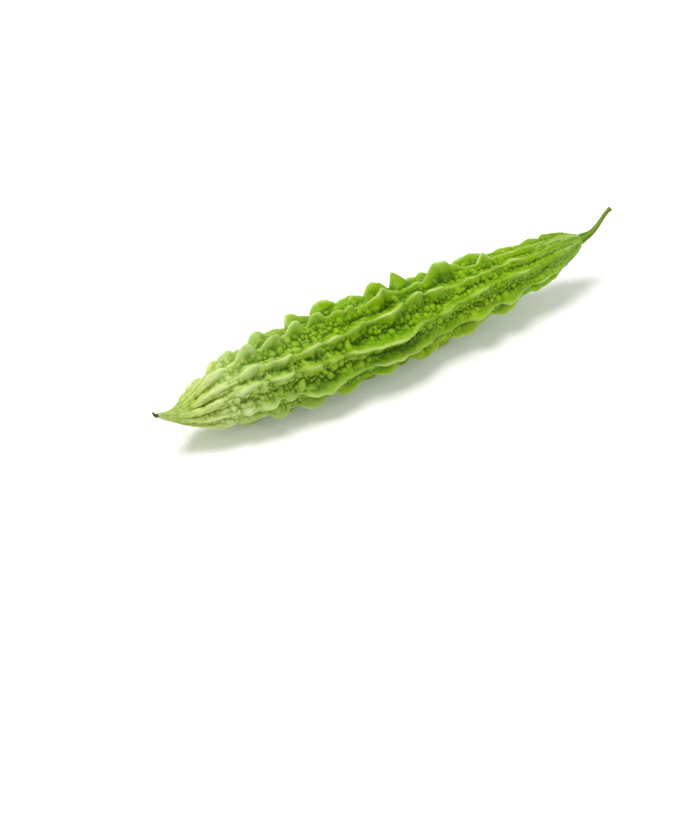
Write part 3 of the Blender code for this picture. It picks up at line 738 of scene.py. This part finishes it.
# fresh green stalk skin: matt, ribbed, with painted shade darkening its grooves, olive and dry where it was
# cut
bark, tree = newMaterial("fresh_stalk_skin")
read = {name: addNode(tree, "ShaderNodeAttribute", {"attribute_name": name}).outputs["Fac"]
        for name in ("rib", "out", "cut")}
objectAt = addNode(tree, "ShaderNodeTexCoord").outputs["Object"]
fibres = addNode(tree, "ShaderNodeTexNoise", values={"Scale": 1 / stalk["fibres"], "Detail": 3},
                 links={"Vector": objectAt})
mottle = addNode(tree, "ShaderNodeTexNoise", values={"Scale": 1 / stalk["mottles"], "Detail": 2},
                 links={"Vector": objectAt})
alongStalk = addNode(tree, "ShaderNodeValToRGB", links={"Fac": read["out"]}, stops=stalk["colours"])
# painted shade in the grooves between the ribs
paintedGrooveShade = addNode(tree, "ShaderNodeValToRGB", links={"Fac": read["rib"]}, stops=stalk["grooves"])
ribbed = addNode(tree, "ShaderNodeMix", {"data_type": "RGBA", "blend_type": "MULTIPLY"}, {0: 0.9},
                 {6: alongStalk, 7: paintedGrooveShade})
patchAmount = addNode(tree, "ShaderNodeMath", {"operation": "MULTIPLY"}, {1: 0.35}, {0: mottle})
patchy = addNode(tree, "ShaderNodeMix", {"data_type": "RGBA"}, {7: hexColour(stalk["patchColour"])},
                 {0: patchAmount, 6: ribbed.outputs[2]})
withCut = addNode(tree, "ShaderNodeMix", {"data_type": "RGBA"}, {7: hexColour(stalk["cutColour"])},
                  {0: read["cut"], 6: patchy.outputs[2]})
rough = addNode(tree, "ShaderNodeBump", values={"Strength": 0.4, "Distance": 0.08 * mm},
                links={"Height": fibres})
shader = addNode(tree, "ShaderNodeBsdfPrincipled", values={
    "Roughness": 0.6,
    "IOR": 1.45,
    "Specular IOR Level": 0.25,
    "Specular Tint": (0.9, 1.0, 0.5, 1.0),
}, links={"Base Color": withCut.outputs[2], "Normal": rough})
addNode(tree, "ShaderNodeOutputMaterial", links={"Surface": shader})
stem.data.materials.append(bark)
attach(stem, "root")
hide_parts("stem")

# dried rest of the flower
# the route is in millimetres from the flower end of the fruit: (back, up, radius)
driedFlower = {
    "route": [(-1.6, 0, 0.5), (-0.3, 0, 0.85), (0.2, 0.05, 0.95), (0.7, 0.2, 0.8), (1.2, 0.55, 0.66),
              (1.7, 1.15, 0.56), (2.1, 1.9, 0.52), (2.2, 2.6, 0.4)],
    "length": 6 * mm,  # of the route, roughly
    "sides": 28,
    "rings": 40,
    "wrinkles": (7, 0.16),  # number round and share of the radius
    "twist": 150,
    "crumple": (0.12 * mm, 0.7 * mm, 6),  # with its number round
    "smoothBelow": 50,
    "flakes": 0.4 * mm,  # real ones are too fine to show
    "colours": [(0.3, "#8f9a3a"), (0.45, "#75692a"), (0.6, "#54431c"), (0.9, "#6b5a2c"), (1.0, "#86774a")],
    # painted shade in the grooves of the wrinkles
    "grooveShadeColour": "#8c8478",
}


def flowerRing(step, turned, thick, wide):
    count, depth = driedFlower["wrinkles"]
    spun = turned + math.radians(driedFlower["twist"]) * step
    height, length, around = driedFlower["crumple"]
    crumple = height * noise(step * driedFlower["length"], turned, length, fruit["seed"] + 13, around)
    wrinkled = 1 + depth * (np.abs(np.cos(count / 2 * spun)) * 2 - 1.3)
    return (thick * wrinkled + crumple) * wide, 0 * step


tipHeight = float(axisHeight[0, 0])
flowerEnd = Vector((offset.x - fruit["length"] / 2, offset.y + fruit["sideBend"], tipHeight))
dried = startTube("driedFlowerRest", driedFlower["sides"], driedFlower["rings"])
step, turned, wide = sweep(dried, driedFlower["route"], driedFlower["rings"], flowerEnd, -1, flowerRing)
bpy.ops.object.mode_set(mode="EDIT")
bpy.ops.mesh.select_all(action="SELECT")
bpy.ops.mesh.normals_make_consistent(inside=False)  # a tube led backwards comes out inside out
bpy.ops.object.mode_set(mode="OBJECT")
spun = turned + math.radians(driedFlower["twist"]) * step
writeAttribute(dried.data, "rib", np.abs(np.cos(driedFlower["wrinkles"][0] / 2 * spun)))
writeAttribute(dried.data, "out", step)
bpy.ops.object.shade_smooth_by_angle(angle=math.radians(driedFlower["smoothBelow"]))
print("flower rest shaped")

# dried petals and style: brown, brittle and dull, still green where they join the fruit, with painted shade
# in the grooves of their wrinkles
husk, tree = newMaterial("dried_flower_husk")
read = {name: addNode(tree, "ShaderNodeAttribute", {"attribute_name": name}).outputs["Fac"]
        for name in ("rib", "out")}
objectAt = addNode(tree, "ShaderNodeTexCoord").outputs["Object"]
flakes = addNode(tree, "ShaderNodeTexNoise", values={"Scale": 1 / driedFlower["flakes"], "Detail": 3},
                 links={"Vector": objectAt})
alongFlower = addNode(tree, "ShaderNodeValToRGB", links={"Fac": read["out"]}, stops=driedFlower["colours"])
# painted shade in the grooves of the wrinkles
paintedWrinkleShade = addNode(tree, "ShaderNodeMix", {"data_type": "RGBA"},
                      {6: hexColour(driedFlower["grooveShadeColour"]), 7: hexColour("#ffffff")}, {0: read["rib"]})
toned = addNode(tree, "ShaderNodeMix", {"data_type": "RGBA", "blend_type": "MULTIPLY"}, {0: 1.0},
                {6: alongFlower, 7: paintedWrinkleShade.outputs[2]})
brittle = addNode(tree, "ShaderNodeBump", values={"Strength": 0.6, "Distance": 0.08 * mm},
                  links={"Height": flakes})
shader = addNode(tree, "ShaderNodeBsdfPrincipled", values={"Roughness": 0.85, "Specular IOR Level": 0.2},
                 links={"Base Color": toned.outputs[2], "Normal": brittle})
addNode(tree, "ShaderNodeOutputMaterial", links={"Surface": shader})
dried.data.materials.append(husk)
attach(dried, "root")
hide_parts("blossom_tip")
